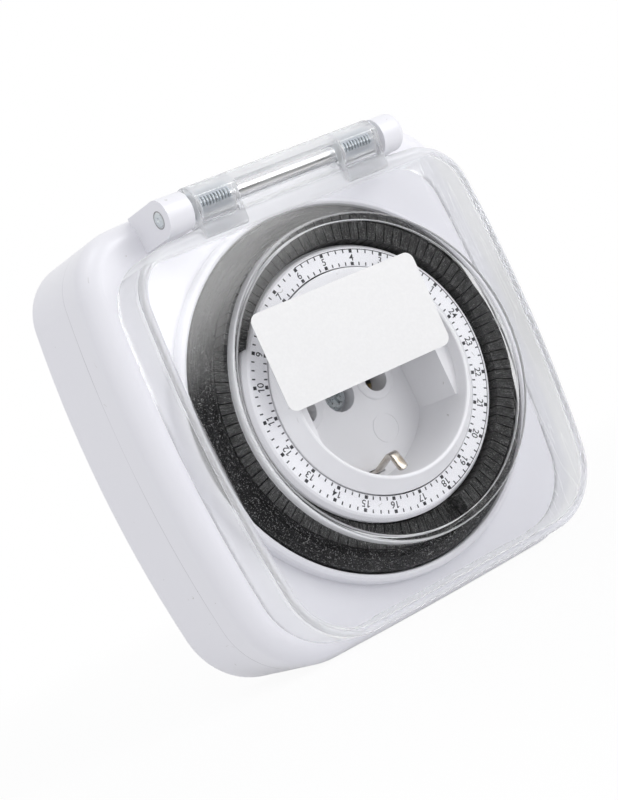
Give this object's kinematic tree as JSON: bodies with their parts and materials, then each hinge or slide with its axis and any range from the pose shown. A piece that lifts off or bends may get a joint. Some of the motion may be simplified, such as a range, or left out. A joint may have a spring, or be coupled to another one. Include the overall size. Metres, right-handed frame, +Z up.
{
  "type": "plug-in timer switch",
  "caption": "Plug-in 24-hour segment timer switch with earthed socket well, turning dial with push tappets and a sprung clear hinged lid, earthed two-pin plug behind.",
  "frame": {"origin": "centre of the plug body's end face, between the two pins", "axes": "+Y along the pins, away from the housing; +Z up, towards the lid hinge; X along the hinge; the front faces -Y"},
  "size_m": [0.0962, 0.0788, 0.0972],
  "materials": {
    "white_plastic": "satin moulded",
    "dial_white": "satin moulded, printed scale",
    "black_gloss": "polished moulding",
    "tappet_black": "satin moulded",
    "grey_plastic": "moulded",
    "clear_lid": "clear polycarbonate, polished",
    "label_paper": "coated paper",
    "rod_steel": "drawn bright steel",
    "spring_steel": "zinc plated",
    "nickel": "nickel plated",
    "brass": "stamped",
    "clip_nickel": "nickel plated",
    "zinc": "zinc plated",
    "motor_can": "plated can",
    "gear_plastic": "natural acetal",
    "switch_plastic": "moulded"
  },
  "bodies": {
    "housing": {"front_shell": "white_plastic", "rear_shell": "white_plastic", "plug_body": "white_plastic", "chassis_plate": "grey_plastic", "socket_well": "white_plastic", "well_floor": "white_plastic", "well_screw": "zinc", "shell_screws": "zinc", "earth_clips": "clip_nickel", "earth_bar": "brass", "plug_earth_strips": "clip_nickel", "pin_live": "nickel", "pin_neutral": "nickel", "contact_live": "brass", "contact_neutral": "brass", "live_feed": "brass", "motor": "motor_can", "gear_axle": "rod_steel", "micro_switch": "switch_plastic", "lever_pin": "rod_steel", "hinge_rod": "rod_steel", "spring_left": "spring_steel", "spring_right": "spring_steel"},
    "lid": {"lid": "clear_lid", "blank_label": "label_paper"},
    "dial": {"dial_ring": "dial_white", "tappet_carrier": "black_gloss"},
    "tappets_hour_00": {"tappets_00": "tappet_black"},
    "tappets_hour_01": {"tappets_01": "tappet_black"},
    "tappets_hour_02": {"tappets_02": "tappet_black"},
    "tappets_hour_03": {"tappets_03": "tappet_black"},
    "tappets_hour_04": {"tappets_04": "tappet_black"},
    "tappets_hour_05": {"tappets_05": "tappet_black"},
    "tappets_hour_06": {"tappets_06": "tappet_black"},
    "tappets_hour_07": {"tappets_07": "tappet_black"},
    "tappets_hour_08": {"tappets_08": "tappet_black"},
    "tappets_hour_09": {"tappets_09": "tappet_black"},
    "tappets_hour_10": {"tappets_10": "tappet_black"},
    "tappets_hour_11": {"tappets_11": "tappet_black"},
    "tappets_hour_12": {"tappets_12": "tappet_black"},
    "tappets_hour_13": {"tappets_13": "tappet_black"},
    "tappets_hour_14": {"tappets_14": "tappet_black"},
    "tappets_hour_15": {"tappets_15": "tappet_black"},
    "tappets_hour_16": {"tappets_16": "tappet_black"},
    "tappets_hour_17": {"tappets_17": "tappet_black"},
    "tappets_hour_18": {"tappets_18": "tappet_black"},
    "tappets_hour_19": {"tappets_19": "tappet_black"},
    "tappets_hour_20": {"tappets_20": "tappet_black"},
    "tappets_hour_21": {"tappets_21": "tappet_black"},
    "tappets_hour_22": {"tappets_22": "tappet_black"},
    "tappets_hour_23": {"tappets_23": "tappet_black"},
    "idler": {"idler_gear": "gear_plastic"},
    "motor_pinion": {"motor_pinion": "gear_plastic"},
    "switch_lever": {"switch_lever": "gear_plastic"},
    "switch_button": {"switch_button": "gear_plastic"}
  },
  "joints": [
    {"name": "lid_hinge", "type": "hinge", "parent": "housing", "child": "lid", "pos_m": [0, -0.0555, 0.0453], "axis": [-1, 0, 0], "range_deg": [0, 110], "stiffness_Nm_per_rad": 0.008, "springref_deg": -68.75},
    {"name": "dial_turn", "type": "hinge", "parent": "housing", "child": "dial", "pos_m": [0, -0.045, 0], "axis": [0, 1, 0], "continuous": true},
    {"name": "tappets_00_slide", "type": "slide", "parent": "dial", "child": "tappets_hour_00", "axis": [0, 1, 0], "range_m": [0, 0.0036]},
    {"name": "tappets_01_slide", "type": "slide", "parent": "dial", "child": "tappets_hour_01", "axis": [0, 1, 0], "range_m": [0, 0.0036]},
    {"name": "tappets_02_slide", "type": "slide", "parent": "dial", "child": "tappets_hour_02", "axis": [0, 1, 0], "range_m": [0, 0.0036]},
    {"name": "tappets_03_slide", "type": "slide", "parent": "dial", "child": "tappets_hour_03", "axis": [0, 1, 0], "range_m": [0, 0.0036]},
    {"name": "tappets_04_slide", "type": "slide", "parent": "dial", "child": "tappets_hour_04", "axis": [0, 1, 0], "range_m": [0, 0.0036]},
    {"name": "tappets_05_slide", "type": "slide", "parent": "dial", "child": "tappets_hour_05", "axis": [0, 1, 0], "range_m": [0, 0.0036]},
    {"name": "tappets_06_slide", "type": "slide", "parent": "dial", "child": "tappets_hour_06", "axis": [0, 1, 0], "range_m": [0, 0.0036]},
    {"name": "tappets_07_slide", "type": "slide", "parent": "dial", "child": "tappets_hour_07", "axis": [0, 1, 0], "range_m": [0, 0.0036]},
    {"name": "tappets_08_slide", "type": "slide", "parent": "dial", "child": "tappets_hour_08", "axis": [0, 1, 0], "range_m": [0, 0.0036]},
    {"name": "tappets_09_slide", "type": "slide", "parent": "dial", "child": "tappets_hour_09", "axis": [0, 1, 0], "range_m": [-0.0036, 0]},
    {"name": "tappets_10_slide", "type": "slide", "parent": "dial", "child": "tappets_hour_10", "axis": [0, 1, 0], "range_m": [-0.0036, 0]},
    {"name": "tappets_11_slide", "type": "slide", "parent": "dial", "child": "tappets_hour_11", "axis": [0, 1, 0], "range_m": [-0.0036, 0]},
    {"name": "tappets_12_slide", "type": "slide", "parent": "dial", "child": "tappets_hour_12", "axis": [0, 1, 0], "range_m": [-0.0036, 0]},
    {"name": "tappets_13_slide", "type": "slide", "parent": "dial", "child": "tappets_hour_13", "axis": [0, 1, 0], "range_m": [-0.0036, 0]},
    {"name": "tappets_14_slide", "type": "slide", "parent": "dial", "child": "tappets_hour_14", "axis": [0, 1, 0], "range_m": [-0.0036, 0]},
    {"name": "tappets_15_slide", "type": "slide", "parent": "dial", "child": "tappets_hour_15", "axis": [0, 1, 0], "range_m": [-0.0036, 0]},
    {"name": "tappets_16_slide", "type": "slide", "parent": "dial", "child": "tappets_hour_16", "axis": [0, 1, 0], "range_m": [-0.0036, 0]},
    {"name": "tappets_17_slide", "type": "slide", "parent": "dial", "child": "tappets_hour_17", "axis": [0, 1, 0], "range_m": [-0.0036, 0]},
    {"name": "tappets_18_slide", "type": "slide", "parent": "dial", "child": "tappets_hour_18", "axis": [0, 1, 0], "range_m": [0, 0.0036]},
    {"name": "tappets_19_slide", "type": "slide", "parent": "dial", "child": "tappets_hour_19", "axis": [0, 1, 0], "range_m": [0, 0.0036]},
    {"name": "tappets_20_slide", "type": "slide", "parent": "dial", "child": "tappets_hour_20", "axis": [0, 1, 0], "range_m": [0, 0.0036]},
    {"name": "tappets_21_slide", "type": "slide", "parent": "dial", "child": "tappets_hour_21", "axis": [0, 1, 0], "range_m": [0, 0.0036]},
    {"name": "tappets_22_slide", "type": "slide", "parent": "dial", "child": "tappets_hour_22", "axis": [0, 1, 0], "range_m": [0, 0.0036]},
    {"name": "tappets_23_slide", "type": "slide", "parent": "dial", "child": "tappets_hour_23", "axis": [0, 1, 0], "range_m": [0, 0.0036]},
    {"name": "idler_turn", "type": "hinge", "parent": "housing", "child": "idler", "pos_m": [-0.02501, -0.038, -0.02252], "axis": [0, 1, 0], "continuous": true},
    {"name": "motor_turn", "type": "hinge", "parent": "housing", "child": "motor_pinion", "pos_m": [-0.01649, -0.0376, -0.03104], "axis": [0, 1, 0], "continuous": true},
    {"name": "lever_swing", "type": "hinge", "parent": "housing", "child": "switch_lever", "pos_m": [-0.03181, -0.038, -0.01058], "axis": [-0.9998, 0, -0.0183], "range_deg": [-10.3, 0], "stiffness_Nm_per_rad": 0.002, "springref_deg": 11.46},
    {"name": "button_press", "type": "slide", "parent": "housing", "child": "switch_button", "axis": [0, 1, 0], "range_m": [-0.0012, 0]}
  ],
  "couplings": [
    {"joint": "idler_turn", "follows": "dial_turn", "ratio": -6},
    {"joint": "motor_turn", "follows": "dial_turn", "ratio": 18},
    {"joint": "button_press", "follows": "lever_swing", "m_per_rad": 0.0067}
  ]
}
